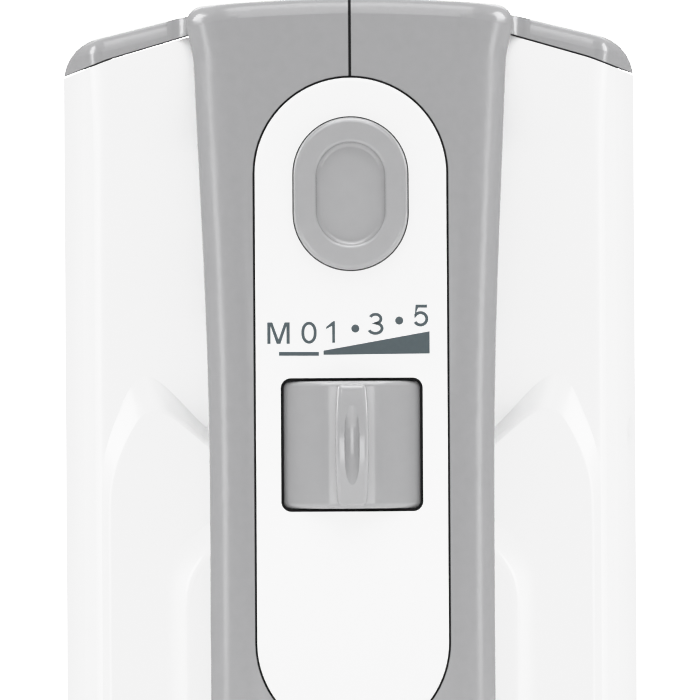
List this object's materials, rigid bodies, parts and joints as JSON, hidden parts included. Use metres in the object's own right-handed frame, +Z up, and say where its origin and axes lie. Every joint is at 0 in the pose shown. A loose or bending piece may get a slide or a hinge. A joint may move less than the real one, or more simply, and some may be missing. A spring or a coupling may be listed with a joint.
{
  "type": "hand mixer",
  "caption": "Hand-held electric mixer with a loop handle, sliding speed key, beater release button and two wire beaters, standing on its heel.",
  "frame": {"origin": "centre of the heel pad's face under the motor axis, where the mixer stands upright on its heel", "axes": "+Z up from the heel to the nose along the motor axis, X across, -Y towards the back of the handle, +Y the way the beaters point"},
  "size_m": [0.0904, 0.2844, 0.1998],
  "materials": {
    "white_shell": "satin gloss white ABS",
    "grey_handle": "fine matt grey ABS",
    "heel_rubber": "soft matt",
    "white_panel": "gloss white with printed speed scale",
    "grey_key": "smooth satin grey",
    "steel": "turned steel",
    "black_plastic": "glass-filled black",
    "white_inner": "natural moulding",
    "spring_steel": "drawn wire",
    "lamination": "stacked sheet",
    "copper_wire": "enamelled copper",
    "commutator_copper": "turned copper",
    "bronze": "sintered bronze",
    "grey_rubber": "soft matt",
    "carbon": "pressed carbon",
    "brass": "stamped sheet",
    "gear_nylon": "natural nylon",
    "chrome": "bright chrome plate"
  },
  "bodies": {
    "mixer_body": {"housing_left": "white_shell", "housing_right": "white_shell", "handle_left": "grey_handle", "handle_right": "grey_handle", "heel_pad": "heel_rubber", "control_panel": "white_panel", "key_pin": "steel", "speed_switch": "black_plastic", "eject_spring": "spring_steel", "stator_core": "lamination", "field_coil_upper": "copper_wire", "field_coil_lower": "copper_wire", "bearing_bracket": "black_plastic", "bush_rear": "bronze", "bush_front": "bronze", "bush_thrust": "bronze", "gear_case": "black_plastic", "gear_cover": "black_plastic", "cord_gland": "grey_rubber", "brush_left": "carbon", "brush_right": "carbon", "brush_holder_left": "brass", "brush_holder_right": "brass", "beater_socket_left": "grey_key", "beater_socket_right": "grey_key", "housing_screw_1": "steel", "housing_screw_2": "steel", "housing_screw_3": "steel", "housing_screw_4": "steel", "handle_screw_1": "steel", "handle_screw_2": "steel", "handle_screw_3": "steel"},
    "speed_key": {"speed_key": "grey_key"},
    "ejector": {"eject_button": "grey_key", "eject_crossbar": "white_inner"},
    "rotor": {"motor_shaft": "steel", "armature_core": "lamination", "winding_rear": "copper_wire", "winding_front": "copper_wire", "commutator": "commutator_copper", "cooling_fan": "white_inner"},
    "drive_left": {"worm_wheel_left": "gear_nylon"},
    "drive_right": {"worm_wheel_right": "gear_nylon"},
    "beater_left": {"beater_shaft_left": "chrome", "beater_wires_left": "chrome"},
    "beater_right": {"beater_shaft_right": "chrome", "beater_wires_right": "chrome"}
  },
  "joints": [
    {"name": "speed_key_turn", "type": "hinge", "parent": "mixer_body", "child": "speed_key", "pos_m": [0, -0.0863, 0.1303], "axis": [0, 0, 1], "range_deg": [-24, 24]},
    {"name": "eject_slide", "type": "slide", "parent": "mixer_body", "child": "ejector", "axis": [0, 1, 0], "range_m": [0, 0.006], "stiffness_N_per_m": 500, "springref_m": -0.006, "deforming": ["eject_spring"]},
    {"name": "rotor_spin", "type": "hinge", "parent": "mixer_body", "child": "rotor", "pos_m": [0, 0, 0.165], "axis": [0, 0, 1], "continuous": true},
    {"name": "wheel_left_spin", "type": "hinge", "parent": "mixer_body", "child": "drive_left", "pos_m": [-0.0195, 0, 0.165], "axis": [0, 1, 0], "continuous": true},
    {"name": "wheel_right_spin", "type": "hinge", "parent": "mixer_body", "child": "drive_right", "pos_m": [0.0195, 0, 0.165], "axis": [0, 1, 0], "continuous": true},
    {"name": "beater_left_slide", "type": "slide", "parent": "drive_left", "child": "beater_left", "axis": [0, 1, 0], "range_m": [0, 0.006]},
    {"name": "beater_right_slide", "type": "slide", "parent": "drive_right", "child": "beater_right", "axis": [0, 1, 0], "range_m": [0, 0.006]}
  ],
  "couplings": [
    {"joint": "wheel_left_spin", "follows": "rotor_spin", "ratio": 0.066667},
    {"joint": "wheel_right_spin", "follows": "rotor_spin", "ratio": -0.066667},
    {"joint": "beater_left_slide", "follows": "eject_slide", "ratio": 1},
    {"joint": "beater_right_slide", "follows": "eject_slide", "ratio": 1}
  ]
}
